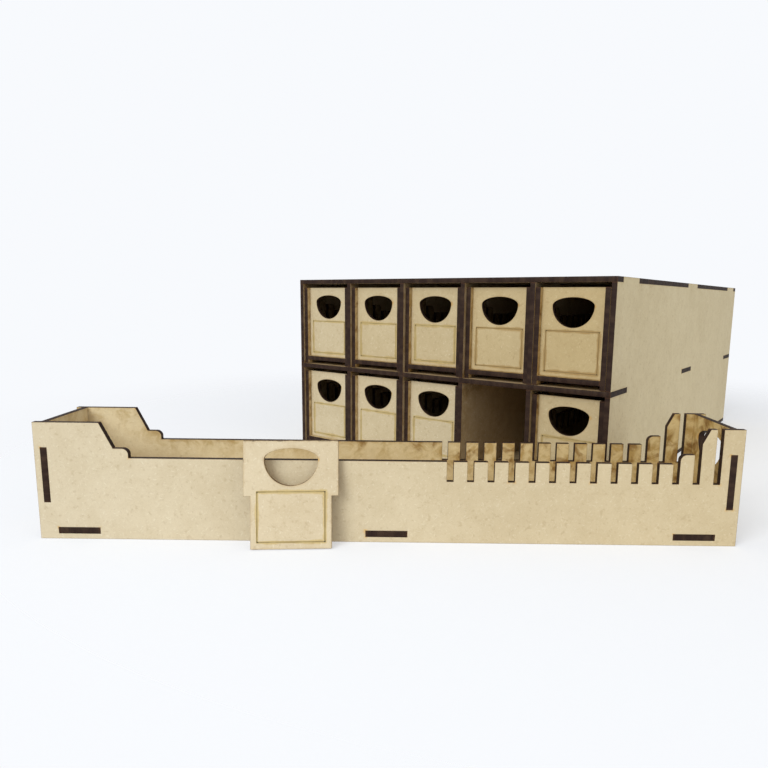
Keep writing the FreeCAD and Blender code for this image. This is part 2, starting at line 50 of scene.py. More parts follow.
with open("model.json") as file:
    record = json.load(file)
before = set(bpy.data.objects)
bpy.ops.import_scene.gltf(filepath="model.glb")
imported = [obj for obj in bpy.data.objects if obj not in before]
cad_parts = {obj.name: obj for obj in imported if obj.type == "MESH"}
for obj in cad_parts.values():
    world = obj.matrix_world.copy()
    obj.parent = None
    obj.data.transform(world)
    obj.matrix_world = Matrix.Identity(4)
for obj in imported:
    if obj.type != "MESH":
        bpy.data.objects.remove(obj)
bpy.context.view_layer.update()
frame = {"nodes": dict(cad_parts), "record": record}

MM = 0.001

# reading the frame's meshes
WELD = 1e-6  # points nearer than this are one point
SAME_PLANE = 1e-5  # heights nearer than this belong to one face
SAME_AREA = 1e-7  # outlines on the two faces whose areas are this near are one cut
LYING = 0.7  # a board whose normal's upward share is larger lies flat
SOFT_TURN = math.radians(34)  # a smaller turn between two edges is part of an arc
STILL_TURN = math.radians(0.6)  # unless it is smaller than this, as on a straight cut
ARC_STEP = 6 * MM  # the longest edge that can be part of an arc
SHARP_TURN = math.radians(40)  # a larger turn is a corner

# making the boards
BATCH = 600  # points compared with all outline edges at a time
ROW_STRETCH = 1.5  # how far a row steps out at a corner, at most, in reaches
ROW_SHARE = 0.93  # the share of its reach that a row's point keeps from every cut
CELL_SHARE = 0.9  # the side, in first reaches, of a square that keeps one of its points
FILL_WELD = 1e-6  # how near two points may lie when a face is filled, in millimetres
HOLLOW_ROWS = 7  # rows of points across the scored line
UPPER_LEFT = (-1, 0.5)  # the corner of a slot that lies furthest this way was cut first
FACE_SHIFT, EDGE_SHIFT = 7.3, 3.1  # how far a board's place shifts its fibres and streaks
SHADED_APART = math.radians(30)  # faces at a larger angle meet in a sharp edge

# smoke, stains and the painted shade inside closed drawers
MARKS = ("cut", "score", "corner", "start", "smoke")
SMOKE_REACH = 4 * MM  # smoke thins to about a third over this distance
FAR = 1.0  # a distance past which no mark shows
CLEAN_DEPTH = 5.2 * MM  # how far behind the cabinet's front its drawers are clean inside
CLEAN_FADE = 0.8 * MM
# behind its clean front, a closed drawer's inside is painted dark as shade, which gives way to
# its pale colour between these depths
PAINTED_SHADE_FADE = (40 * MM, 130 * MM)  # where a closed drawer's inside turns pale again


# -------- outlines in the frame


def welded(node):
    """The node's points and triangles, with points that lie together made one."""
    mesh = frame["nodes"][node].data
    mesh.calc_loop_triangles()
    points = np.empty(len(mesh.vertices) * 3, np.float32)
    mesh.vertices.foreach_get("co", points)
    corners = np.empty(len(mesh.loop_triangles) * 3, np.int32)
    mesh.loop_triangles.foreach_get("vertices", corners)
    steps = np.round(points.reshape(-1, 3) / WELD).astype(np.int64)
    unique, where = np.unique(steps, axis=0, return_inverse=True)
    triangles = where.reshape(-1)[corners].reshape(-1, 3)
    whole = (triangles != np.roll(triangles, 1, 1)).all(1)
    return unique * WELD, triangles[whole]


def loose_parts(triangles, count):
    """The triangles of each separate board. Every point takes the lowest number found in
    its triangles, again and again until no number changes."""
    label = np.arange(count)
    settled = False
    while not settled:
        spread = label.copy()
        np.minimum.at(spread, triangles, label[triangles].min(1)[:, None])
        spread = spread[spread]
        settled = (spread == label).all()
        label = spread
    home = label[triangles[:, 0]]
    return [triangles[home == number] for number in np.unique(home)]


def rings_of(triangles):
    """The ordered rings round a patch of triangles. Each edge with no twin leads on to
    the next point; jumping twice as far each round finds every ring's lowest point and
    then each point's number of steps to it, which puts the ring in order."""
    start = triangles.ravel()
    end = np.roll(triangles, -1, 1).ravel()
    size = int(triangles.max()) + 1
    alone = ~np.isin(start * size + end, end * size + start)
    names, start = np.unique(start[alone], return_inverse=True)
    end = np.searchsorted(names, end[alone])
    onward = np.empty(len(names), int)
    onward[start] = end
    rounds = range(int(len(names)).bit_length())
    lowest, jump = np.arange(len(names)), onward
    for _ in rounds:
        lowest = np.minimum(lowest, lowest[jump])
        jump = jump[jump]
    first = lowest == np.arange(len(names))
    steps = np.where(first, 0, 1)
    jump = np.where(first, np.arange(len(names)), onward)
    for _ in rounds:
        steps = steps + steps[jump]
        jump = jump[jump]
    rings = []
    for leader in np.unique(lowest):
        members = np.flatnonzero(lowest == leader)
        rings.append(names[members[np.argsort(-steps[members] % len(members))]])
    return rings


# -------- flat geometry


def unit(vectors):
    """Each vector over its own length."""
    return vectors / np.linalg.norm(vectors, axis=-1, keepdims=True)


def left_of(vectors):
    """Each vector turned a quarter to its left."""
    return np.stack([-vectors[:, 1], vectors[:, 0]], 1)


def turns(ring):
    """The angle through which a ring turns at each point, left turns positive."""
    onward = unit(np.roll(ring, -1, 0) - ring)
    before = np.roll(onward, 1, 0)
    return np.arctan2(
        before[:, 0] * onward[:, 1] - before[:, 1] * onward[:, 0],
        (before * onward).sum(1),
    )


def sideways(ring):
    """Each point's step to the ring's left that moves both its edges over by one: the sum
    of the two edges' normals over one plus their dot product."""
    after = left_of(unit(np.roll(ring, -1, 0) - ring))
    before = np.roll(after, 1, 0)
    return (after + before) / (1 + (after * before).sum(1))[:, None]


def rounded(ring):
    """The ring with one more point on each edge of an arc. It lies off the middle of the
    edge by half the edge times the tangent of a quarter of the arc's turn there."""
    turn = turns(ring)
    following = np.roll(ring, -1, 0)
    step = following - ring
    length = np.linalg.norm(step, axis=1)
    ends = np.stack([turn, np.roll(turn, -1)])
    most = np.abs(ends).max(0)
    arc = (most < SOFT_TURN) & (most > STILL_TURN) & (length < ARC_STEP)
    rise = length / 2 * np.tan(most / 4) * np.sign(ends.sum(0))
    middle = (ring + following) / 2 - left_of(unit(step)) * rise[:, None]
    both = np.stack([ring, middle], 1).reshape(-1, 2)
    return both[np.stack([np.ones_like(arc), arc], 1).ravel()]


def divided(ring, spacing):
    """The ring with its long edges divided evenly, so that no step exceeds the spacing."""
    step = np.roll(ring, -1, 0) - ring
    parts = np.maximum(1, np.ceil(np.linalg.norm(step, axis=1) / spacing)).astype(int)
    edge = np.repeat(np.arange(len(ring)), parts)
    part = np.arange(len(edge)) - (np.cumsum(parts) - parts)[edge]
    return ring[edge] + step[edge] * (part / parts[edge])[:, None]


def batches(points):
    """The points in groups small enough to compare with every edge at once."""
    return np.array_split(points, len(points) // BATCH + 1)


def edge_ends(rings):
    """The first and the last point of every edge of the rings."""
    return np.concatenate(rings), np.concatenate([np.roll(r, -1, 0) for r in rings])


def is_inside(points, rings):
    """Whether a line from each point to the right crosses the rings an odd number of
    times."""
    a, b = edge_ends(rings)
    rise = b[:, 1] - a[:, 1]
    slope = (b[:, 0] - a[:, 0]) / np.where(rise == 0, 1, rise)
    found = []
    for batch in batches(points):
        x, y = batch[:, :1], batch[:, 1:]
        spans = (a[:, 1] > y) != (b[:, 1] > y)
        found.append((spans & (x < a[:, 0] + (y - a[:, 1]) * slope)).sum(1) % 2 == 1)
    return np.concatenate(found)


def distance_to(points, rings):
    """Each point's distance to the nearest edge: what is left of the line from the edge's
    start to the point after its share along the edge, held between the ends, is taken."""
    a, b = edge_ends(rings)
    along = b - a
    square = (along**2).sum(1)
    found = []
    for batch in batches(points):
        offset = batch[:, None] - a
        share = np.clip((offset * along).sum(2) / square, 0, 1)
        found.append(np.linalg.norm(offset - share[..., None] * along, axis=2).min(1))
    return np.concatenate(found)


def nearest_of(points, marks):
    """Each point's distance to the nearest mark."""
    if not len(marks):
        return np.full(len(points), FAR)
    return np.concatenate(
        [np.linalg.norm(b[:, None] - marks, axis=2).min(1) for b in batches(points)]
    )


def smoke_at(points, rings):
    """How much smoke a point has had: the cuts' lengths, each times e to the power of
    minus its distance over the reach, added up. It is about 1 beside a long cut."""
    a, b = edge_ends([divided(ring, SMOKE_REACH / 2) for ring in rings])
    middle, length = (a + b) / 2, np.linalg.norm(b - a, axis=1)
    total = [
        (np.exp(-np.linalg.norm(batch[:, None] - middle, axis=2) / SMOKE_REACH) * length).sum(1)
        for batch in batches(points)
    ]
    return np.concatenate(total) / (2 * SMOKE_REACH)


def spread_points(rings, reaches, spacing, grid):
    """Points inside the rings for a face's triangles: rows that follow the rings at each
    reach, where no other edge is nearer, and an even grid beyond the last row. Points
    that share a small square are thinned to one."""
    rows = []
    for ring in rings:
        fine = divided(ring, spacing)
        step = np.clip(sideways(fine), -ROW_STRETCH, ROW_STRETCH)
        rows.extend(fine + step * reach for reach in reaches)
    reach_of = np.repeat(np.tile(reaches, len(rings)), [len(r) for r in rows])
    rows = np.concatenate(rows)
    low, high = rows.min(0), rows.max(0)
    across, up = (np.arange(low[i] + grid / 2, high[i], grid) for i in (0, 1))
    even = np.stack(np.meshgrid(across, up), 2).reshape(-1, 2)
    points = np.concatenate([rows, even])
    beyond = np.full(len(even), reaches[-1] + grid / 3)
    least = np.concatenate([reach_of * ROW_SHARE, beyond])
    keep = (distance_to(points, rings) >= least) & is_inside(points, rings)
    points = points[keep]
    cells = np.round(points / (reaches[0] * CELL_SHARE)).astype(int)
    _, chosen = np.unique(cells, axis=0, return_index=True)
    return points[np.sort(chosen)]


def filled(rings, points):
    """Triangles that fill the area between the rings, over the rings' points in order and
    then the loose points."""
    every = np.concatenate([*rings, points])
    edges = []
    first = 0
    for ring in rings:
        number = np.arange(len(ring))
        edges.append(np.stack([number, np.roll(number, -1)], 1) + first)
        first += len(ring)
    in_millimetres = (every * (1 / MM)).tolist()
    edges = np.concatenate(edges).tolist()
    kept, _, triangles, *_ = delaunay_2d_cdt(in_millimetres, edges, [], 0, FILL_WELD, False)
    if len(kept) != len(every):
        raise RuntimeError("an outline crosses itself, so its face can't be filled")
    triangles = np.array(triangles)
    return triangles[is_inside(every[triangles].mean(1), rings)]


# -------- one board


class Mesh:
    """Points, faces and what each holds, gathered as whole arrays."""

    def __init__(self):
        self.points, self.marks, self.faces = [], [], []
        self.count = 0

    def add_points(self, points, marks):
        """Adds points with their distances to each of the marks."""
        self.points.append(points)
        self.marks.append(marks)
        self.count += len(points)
        return np.arange(self.count - len(points), self.count)

    def add_faces(self, corners, slot, flat=None):
        """Adds faces. flat holds each corner's place on the unrolled edge."""
        self.faces.append((corners, slot, flat))

    def add_strip(self, rows, lengths, heights, slot):
        """Quads between rows of points that run round a closed path, from the first row
        to the last. Their flat place is the path's length and the height."""
        onward = np.roll(rows, -1, 1)
        corners = np.stack([rows[:-1], rows[1:], onward[1:], onward[:-1]], 2)
        along = np.stack([lengths[:-1]] * 2 + [lengths[1:]] * 2, 1)
        along = np.broadcast_to(along, corners.shape)
        up = np.stack([heights[:-1], heights[1:], heights[1:], heights[:-1]], 1)
        up = np.broadcast_to(up[:, None], corners.shape)
        flat = np.stack([along, up], 3).reshape(-1, 2)
        self.add_faces(corners.reshape(-1, 4), slot, flat)


OUTER, INNER, EDGE, LINE = range(4)  # a board's material slots
Sampling = namedtuple("Sampling", "lip spacing grid reaches")  # how closely it is made


class Board:
    """One flat board read from the frame: its plane, its rings, thickness and scored
    line. Its normal points away from the middle of the body that it belongs to, or to the
    side that has a scored line."""

    def __init__(self, points, triangles, middle):
        corners = points[triangles]
        normals = np.cross(corners[:, 1] - corners[:, 0], corners[:, 2] - corners[:, 0])
        area = np.linalg.norm(normals, axis=1)
        spread = (normals / area[:, None]).T @ normals
        self.normal = np.linalg.eigh(spread)[1][:, -1]
        own = np.unique(triangles)
        if (points[own].mean(0) - middle) @ self.normal < 0:
            self.normal = -self.normal
        height = points @ self.normal
        self.top, self.bottom = height[own].max(), height[own].min()
        faces = [self.face_rings(points, triangles, height, end) for end in (1, -1)]
        if len(faces[1]) > len(faces[0]):
            self.normal = -self.normal
            self.top, self.bottom = -self.bottom, -self.top
            faces.reverse()
            height = -height
        upright = np.array([0, 1.0, 0] if abs(self.normal[2]) > LYING else [0, 0, 1.0])
        across = unit(np.cross(upright, self.normal))
        self.axes = np.stack([across, np.cross(self.normal, across), self.normal])
        flat = points @ self.axes[:2].T
        drawn = sorted((flat[ring] for ring in faces[0]), key=self.ring_size, reverse=True)
        plain = [self.ring_size(flat[ring]) for ring in faces[1]]
        same = [np.isclose(self.ring_size(r), plain, atol=SAME_AREA).any() for r in drawn]
        through = [ring for ring, found in zip(drawn, same) if found]
        scored = [ring for ring, found in zip(drawn, same) if not found]
        self.rings = [rounded(rounded(ring)) for ring in through]
        self.line = scored[0] if scored else None
        if scored:
            sizes = [np.ptp(ring, 0)[0] for ring in scored]
            self.line_width = (sizes[0] - sizes[1]) / 2
            self.line_sides = scored
            levels = height[own]
            between = (levels > self.bottom + SAME_PLANE) & (levels < self.top - SAME_PLANE)
            self.line_depth = self.top - levels[between].max()

    def face_rings(self, points, triangles, height, end):
        """The rings round the face at the top (end 1) or the bottom (end -1)."""
        level = self.top if end > 0 else self.bottom
        flat = (np.abs(height[triangles] - level) < SAME_PLANE).all(1)
        return rings_of(triangles[flat] if end > 0 else triangles[flat][:, ::-1])

    @staticmethod
    def ring_size(ring):
        """The area that a ring goes round."""
        onward = np.roll(ring, -1, 0)
        return abs((ring[:, 0] * onward[:, 1] - ring[:, 1] * onward[:, 0]).sum()) / 2

    def placed(self, flat, height):
        """Flat points set at a height over the board's plane, in the row frame."""
        heights = np.broadcast_to(height, len(flat))
        return np.column_stack([flat, heights]) @ self.axes

    def marks_at(self, points, on_line=False):
        """Each point's distances and its smoke, in the order of MARKS. On the scored line,
        the corner is the line's own."""
        far = np.full(len(points), FAR)
        return np.stack([
            distance_to(points, self.rings),
            far if self.line is None else distance_to(points, self.line_sides),
            nearest_of(points, self.line if on_line else self.corners),
            nearest_of(points, self.starts),
            smoke_at(points, self.rings) * MM,
        ], 1)

    def carried(self, mesh, ring, profile, slot):
        """A profile of (distance inwards, height) carried round the ring, as one strip.
        Returns the point numbers of its rows and their flat places."""
        step = sideways(ring)
        rows = [ring + step * inwards for inwards, _ in profile]
        heights = np.array([height for _, height in profile])
        numbers = []
        for row, height in zip(rows, heights):
            marks = self.marks_at(row, slot == LINE)
            numbers.append(mesh.add_points(self.placed(row, height), marks))
        edges = np.linalg.norm(np.roll(ring, -1, 0) - ring, axis=1)
        lengths = np.concatenate([[0], np.cumsum(edges)])
        mesh.add_strip(np.array(numbers), lengths, heights - self.bottom, slot)
        return numbers, rows

    @staticmethod
    def start_of(ring, sharp):
        """Where the beam pierced the board: a slot's upper left corner, or the right-hand
        end of a round hole."""
        if len(sharp):
            return sharp[np.argmax(sharp @ UPPER_LEFT)]
        return ring[np.argmax(ring[:, 0])]

    def add_face(self, mesh, numbers, rings, shape, height, slot):
        """Fills the rings with a face of triangles at a height."""
        loose = spread_points(rings, shape.reaches, shape.spacing, shape.grid)
        loose_numbers = mesh.add_points(self.placed(loose, height), self.marks_at(loose))
        triangles = filled(rings, loose)
        if slot == INNER:
            triangles = triangles[:, ::-1]
        mesh.add_faces(np.concatenate([*numbers, loose_numbers])[triangles], slot)

    def build(self, shape):
        """The whole board: the edge carried round each ring, with a quarter round of two
        steps for each lip, the scored line's hollow carried round the label, as deep as
        the root of the sine of its share across, and the two faces."""
        mesh = Mesh()
        lip = shape.lip
        near = lip * (1 - math.sqrt(0.5))
        profile = [(lip, self.top), (near, self.top - near), (0, self.top - lip)]
        profile += [(0, self.bottom + lip), (near, self.bottom + near), (lip, self.bottom)]
        rings = [divided(ring, shape.spacing) for ring in self.rings]
        sharp = [ring[np.abs(turns(ring)) > SHARP_TURN] for ring in self.rings]
        self.corners = np.concatenate(sharp)
        self.starts = np.array([self.start_of(*pair) for pair in zip(self.rings[1:], sharp[1:])])
        tops, bottoms = [], []
        for ring in rings:
            numbers, rows = self.carried(mesh, ring, profile, EDGE)
            tops.append((numbers[0], rows[0]))
            bottoms.append((numbers[-1], rows[-1]))
        if self.line is not None:
            line = divided(self.line, shape.spacing)
            share = np.linspace(0, 1, HOLLOW_ROWS)
            depth = self.line_depth * np.sqrt(np.sin(np.pi * share).clip(0))
            hollow = list(zip(-share * self.line_width, self.top - depth))
            numbers, rows = self.carried(mesh, line, hollow, LINE)
            tops += [(numbers[0], rows[0]), (numbers[-1][::-1], rows[-1][::-1])]
        for found, height, slot in ((tops, self.top, OUTER), (bottoms, self.bottom, INNER)):
            self.add_face(mesh, *zip(*found), shape, height, slot)
        return mesh


made_boards = {}


def boards_of(node, body, shape):
    """The finished boards of a node. Nodes of one shape that stand on the same side of
    their body's middle are worked out once and moved."""
    low = np.array(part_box(node)[0])
    points, triangles = welded(node)
    boxes = [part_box(n) for n in frame["record"]["behaviour"]["bodies"][body]]
    middle = np.mean([np.add(*map(np.array, box)) / 2 for box in boxes], 0)
    side = tuple(np.sign(np.round(points.mean(0) - middle, 3)))
    kind = np.round((points - low) / SAME_PLANE).astype(int).tobytes(), side
    if kind not in made_boards:
        parts = loose_parts(triangles, len(points))
        boards = [Board(points, part, middle) for part in parts]
        made_boards[kind] = [(board, board.build(shape)) for board in boards], low
    found, first_low = made_boards[kind]
    return found, low - first_low


def add_piece(node, body, shape, materials, tone):
    """Makes the object that stands for a node, with its marks, flat map and materials.
    The tone goes from its first value at a board's left end to its second at the right."""
    found, move = boards_of(node, body, shape)
    gathered = [[] for _ in range(7)]
    points, marks, tones, corners, totals, slots, flats = gathered
    first = 0
    for board, mesh in found:
        placed = np.concatenate(mesh.points) + move
        level = (placed @ board.normal)[:, None]
        flat_of = placed @ board.axes[:2].T + level * FACE_SHIFT
        for numbers, slot, flat in mesh.faces:
            corners.append(numbers.ravel() + first)
            totals.append(np.full(len(numbers), numbers.shape[1]))
            slots.append(np.full(len(numbers), slot))
            shift = placed[0].sum() * EDGE_SHIFT
            flats.append(flat_of[numbers.ravel()] if flat is None else flat + shift)
        points.append(placed)
        marks.append(np.concatenate(mesh.marks))
        along = placed @ board.axes[0]
        tones.append(np.interp(along, (along.min(), along.max()), tone))
        first += mesh.count
    points, marks, tones, corners, totals, slots, flats = map(np.concatenate, gathered)
    data = bpy.data.meshes.new(node + "_board")
    data.vertices.add(len(points))
    data.vertices.foreach_set("co", points.astype(np.float32).ravel())
    data.loops.add(len(corners))
    data.loops.foreach_set("vertex_index", corners.astype(np.int32))
    data.polygons.add(len(totals))
    data.polygons.foreach_set("loop_start", (np.cumsum(totals) - totals).astype(np.int32))
    data.polygons.foreach_set("material_index", slots.astype(np.int32))
    data.update(calc_edges=True)
    for name, column in zip((*MARKS, "tone"), (*(marks / MM).T, tones)):
        held = data.attributes.new(name, "FLOAT", "POINT")
        held.data.foreach_set("value", column.astype(np.float32))
    flat_map = data.uv_layers.new(name="board")
    flat_map.uv.foreach_set("vector", flats.astype(np.float32).ravel())
    data.shade_smooth()
    data.set_sharp_from_angle(angle=SHADED_APART)
    for material in materials:
        data.materials.append(material)
    piece = bpy.data.objects.new(node + "_board", data)
    bpy.context.scene.collection.objects.link(piece)
    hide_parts(node)
    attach(piece, body)
    return piece


# -------- materials


# how many spots of each kind lie along a metre of board
BROAD, PATCH, FLECK, SPECK = 22.0, 130.0, 420.0, 1300.0
FIBRE_SIZE, CHIP_SIZE = (2.4 * MM, 0.28 * MM), (2.6 * MM, 0.8 * MM)
FIBRE_TURNS = (0.35, 1.35, 2.45)  # the directions in which fibres lie
CHIP_TURN = 0.5  # how far chips are turned from the fibres
# along the edge and through the board
STREAK_SIZE, BAND_SIZE = (0.31 * MM, 5.9 * MM), (3.8 * MM, 17 * MM)
LINE_STREAK_SIZE = (0.67 * MM, 2.5 * MM)


class Shading:
    """A material's nodes, written as calls that take and give sockets."""

    def __init__(self, name):
        self.material = bpy.data.materials.new(name)
        self.material.use_nodes = True
        self.tree = self.material.node_tree
        self.tree.nodes.clear()

    def add(self, kind, inputs, **settings):
        node = self.tree.nodes.new(kind)
        for key, value in settings.items():
            setattr(node, key, value)
        for socket, value in inputs.items():
            if isinstance(value, bpy.types.NodeSocket):
                self.tree.links.new(value, node.inputs[socket])
            else:
                node.inputs[socket].default_value = value
        return node

    def place(self):
        return self.add("ShaderNodeTexCoord", {}).outputs["Object"]

    def flat(self):
        return self.add("ShaderNodeUVMap", {}, uv_map="board").outputs["UV"]

    def mark(self, name):
        return self.add("ShaderNodeAttribute", {}, attribute_name=name).outputs["Fac"]

    def mapped(self, vector, size, turn=0.0):
        """The vector turned about the third axis and then measured in sizes."""
        inputs = {"Vector": vector, "Scale": (*size, 1.0), "Rotation": (0, 0, turn)}
        return self.add("ShaderNodeMapping", inputs, vector_type="TEXTURE").outputs["Vector"]

    def noise(self, vector, scale, detail=2.0, rough=0.5, warp=0.0):
        inputs = {"Vector": vector, "Scale": scale, "Detail": detail}
        inputs |= {"Roughness": rough, "Distortion": warp}
        return self.add("ShaderNodeTexNoise", inputs).outputs["Fac"]

    def ramp(self, value, low, high, start=0.0, end=1.0):
        """The value carried smoothly from start at low to end at high."""
        inputs = {"Value": value, "From Min": low, "From Max": high}
        inputs |= {"To Min": start, "To Max": end}
        node = self.add("ShaderNodeMapRange", inputs, interpolation_type="SMOOTHSTEP")
        return node.outputs["Result"]

    def calc(self, kind, a, b):
        return self.add("ShaderNodeMath", {0: a, 1: b}, operation=kind).outputs[0]

    def mix(self, share, a, b, blend="MIX"):
        """The colour a carried towards b, or towards its blend with b, by the share."""
        a, b = (c if isinstance(c, bpy.types.NodeSocket) else (*c, 1.0) for c in (a, b))
        inputs = {0: share, 6: a, 7: b}
        node = self.add("ShaderNodeMix", inputs, data_type="RGBA", blend_type=blend)
        return node.outputs[2]

    def tint(self, base, share, colour):
        """The base multiplied by a colour, as far as the share says."""
        return self.mix(share, base, colour, "MULTIPLY")

    def finish(self, colour, rough, height, depth, gloss=0.3):
        """Ends the nodes in a dull surface with small bumps."""
        inputs = {"Height": height, "Strength": 1.0, "Distance": depth}
        bump = self.add("ShaderNodeBump", inputs).outputs["Normal"]
        inputs = {"Base Color": colour, "Roughness": rough, "Normal": bump}
        inputs |= {"Specular IOR Level": gloss}
        surface = self.add("ShaderNodeBsdfPrincipled", inputs).outputs["BSDF"]
        self.add("ShaderNodeOutputMaterial", {"Surface": surface})
        return self.material


def graded(s, place, colour, looks):
    """The colour inside a closed drawer, from its front: clean at first, painted shade just
    behind that and pale again further back."""
    depth = s.add("ShaderNodeSeparateXYZ", {"Vector": place}).outputs["Y"]
    clean_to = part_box("top_panel")[0][1] + CLEAN_DEPTH
    pale_from, pale_to = (clean_to + reach for reach in PAINTED_SHADE_FADE)
    # the painted shade gives way to the pale inside colour further back
    colour = s.mix(s.ramp(depth, pale_from, pale_to), colour, looks.inside)
    return s.mix(s.ramp(depth, clean_to, clean_to + CLEAN_FADE), looks.clean, colour)


def grained(s, place, base, looks):
    """Pressed fibreboard: broad tone changes, pale chips and dark fibres that lie in three
    directions, and fine specks. Returns the colour, the roughness and the height."""
    flat = s.flat()
    broad = s.noise(place, BROAD, warp=0.4)
    patch = s.noise(place, PATCH, detail=3.0, rough=0.6, warp=0.3)
    fleck = s.noise(place, FLECK, rough=0.55, warp=0.2)
    speck = s.noise(place, SPECK, detail=1.0)
    base = s.tint(base, s.ramp(broad, 0.3, 0.7, end=0.55), looks.shade)
    base = s.tint(base, s.ramp(patch, 0.35, 0.7, end=0.5), looks.shade)
    base = s.tint(base, s.ramp(fleck, 0.57, 0.74, end=0.32), looks.dark_fleck)
    hairs = chips = 0.0
    for turn in FIBRE_TURNS:
        hair = s.noise(s.mapped(flat, FIBRE_SIZE, turn), 1.0, detail=1.0)
        chip = s.noise(s.mapped(flat, CHIP_SIZE, turn + CHIP_TURN), 1.0, detail=1.0, warp=0.3)
        hairs = s.calc("MAXIMUM", hairs, s.ramp(hair, 0.60, 0.74))
        chips = s.calc("MAXIMUM", chips, s.ramp(chip, 0.65, 0.76))
    base = s.mix(s.calc("MULTIPLY", chips, 0.8), base, looks.pale_fleck, "SCREEN")
    base = s.tint(base, s.calc("MULTIPLY", hairs, 0.22), looks.dark_fleck)
    base = s.tint(base, s.ramp(speck, 0.70, 0.80, end=0.5), looks.dark_fleck)
    rough = s.ramp(fleck, 0.3, 0.7, start=0.62, end=0.74)
    low = s.calc("SUBTRACT", s.calc("MULTIPLY", fleck, 0.6), s.calc("MULTIPLY", hairs, 0.25))
    low = s.calc("ADD", low, s.calc("MULTIPLY", speck, 0.35))
    return base, rough, low


def stained(s, place, base, tone, stain, looks):
    """The stain where smoke gathered: soft clouds wherever there was some, and scorched
    blots where there was most. A warmer board took more of it."""
    smoke = s.calc("MULTIPLY", s.mark("smoke"), s.ramp(tone, 0.0, 1.0, start=0.9, end=2.8))
    clouds = s.noise(place, 150.0, detail=4.0, rough=0.6, warp=0.5)
    clouds = s.ramp(clouds, 0.40, 0.64, start=0.15)
    fume = s.calc("MULTIPLY", s.ramp(smoke, 0.0, 1.5, start=0.16), stain)
    base = s.tint(base, s.calc("MULTIPLY", fume, clouds), looks.fume)
    blots = s.ramp(s.noise(place, 110.0, detail=3.0, rough=0.6, warp=0.8), 0.5, 0.68)
    dense = s.calc("MULTIPLY", s.ramp(smoke, 0.8, 2.2, start=0.08), stain)
    return s.tint(base, s.calc("MULTIPLY", blots, dense), looks.scorch)


def face_material(name, looks, colour, reach, stain, singe, closed=False):
    """A board's face: its grain, its warmth, its stain, and smoke that fades from every
    cut over the reach, in millimetres, by a distance that drifts from place to place. The
    corners and starts of cuts have a warm flare, and a cut's rim is singed. On the loose
    drawer's sides the warmth deepens towards the front and is partly painted shade, and
    inside a closed drawer the colour is graded with painted shade."""
    s = Shading(name)
    place, tone, cut, score = s.place(), s.mark("tone"), s.mark("cut"), s.mark("score")
    if closed:
        colour = graded(s, place, colour, looks)
    base, rough, low = grained(s, place, colour, looks)
    # on the loose drawer's sides the tone rises towards the front, so this tint there is partly
    # painted shade where the light falls off
    base = s.tint(base, tone, looks.golden)
    if stain:
        base = stained(s, place, base, tone, stain, looks)
    drift = s.noise(place, 90.0, detail=3.0, rough=0.6)
    drift = s.ramp(drift, 0.3, 0.75, start=0.35, end=1.6)
    near = s.calc("DIVIDE", cut, drift)
    halo = s.ramp(near, 0.0, reach, start=looks.smoke_strength, end=0.0)
    base = s.tint(base, halo, looks.smoke)
    spots = s.ramp(s.noise(place, 70.0, detail=1.0), 0.54, 0.68, end=0.5)
    flare = s.ramp(s.mark("corner"), 0.1, 1.8, start=1.0, end=0.0)
    first = s.ramp(s.calc("DIVIDE", s.mark("start"), drift), 0.1, 1.9, start=0.85, end=0.0)
    burnt = s.calc("MAXIMUM", s.calc("MULTIPLY", flare, spots), first)
    base = s.tint(base, burnt, looks.flare)
    base = s.mix(s.ramp(cut, 0.02, 0.2, start=singe, end=0.0), base, looks.char_light)
    line = s.ramp(s.calc("DIVIDE", score, drift), 0.0, 1.3, start=0.9, end=0.0)
    glow = s.mix(s.ramp(tone, 0.4, 0.7), looks.line_glow, looks.smoke)
    base = s.tint(base, line, glow)
    base = s.mix(s.ramp(score, 0.0, 0.35, start=0.7, end=0.0), base, looks.line)
    return s.finish(base, rough, low, depth=0.05 * MM)


def edge_material(name, looks, dark, pale):
    """A burnt edge: fine streaks that run through the board's thickness, wider paler
    bands along the path and a glow at each corner."""
    s = Shading(name)
    flat, place = s.flat(), s.place()
    streak = s.noise(s.mapped(flat, STREAK_SIZE), 1.0, rough=0.6, warp=0.15)
    band = s.noise(s.mapped(flat, BAND_SIZE), 1.0, warp=0.2)
    crust = s.noise(place, 1900.0, rough=0.6)
    colour = s.mix(s.ramp(band, 0.38, 0.72), dark, pale)
    colour = s.mix(s.ramp(streak, 0.55, 0.78, end=0.75), colour, pale)
    colour = s.mix(s.ramp(streak, 0.48, 0.22, end=0.8), colour, looks.soot)
    glow = s.ramp(s.mark("corner"), 0.1, 0.9, start=0.5, end=0.0)
    colour = s.mix(glow, colour, looks.ember)
    colour = s.mix(s.ramp(crust, 0.6, 0.8, end=0.3), colour, looks.soot)
    rough = s.ramp(streak, 0.3, 0.7, start=0.45, end=0.7)
    low = s.calc("ADD", streak, s.calc("MULTIPLY", crust, 0.4))
    return s.finish(colour, rough, low, depth=0.06 * MM, gloss=0.12)


def line_material(looks):
    """The scored label line: brown, darker where the beam turned at each corner."""
    s = Shading("scored_line")
    streak = s.noise(s.mapped(s.flat(), LINE_STREAK_SIZE), 1.0, rough=0.6)
    drift = s.noise(s.place(), 140.0)
    colour = s.mix(s.ramp(drift, 0.35, 0.7), looks.line, looks.line_dark)
    colour = s.mix(s.ramp(streak, 0.5, 0.75, end=0.6), colour, looks.line_dark)
    burnt = s.ramp(s.mark("tone"), 0.4, 0.7, end=0.8)
    colour = s.mix(burnt, colour, looks.line_burnt)
    dots = s.ramp(s.mark("corner"), 0.35, 1.2, start=0.9, end=0.0)
    colour = s.mix(dots, colour, looks.soot)
    rough = s.ramp(streak, 0.3, 0.7, start=0.65, end=0.8)
    return s.finish(colour, rough, streak, depth=0.05 * MM)


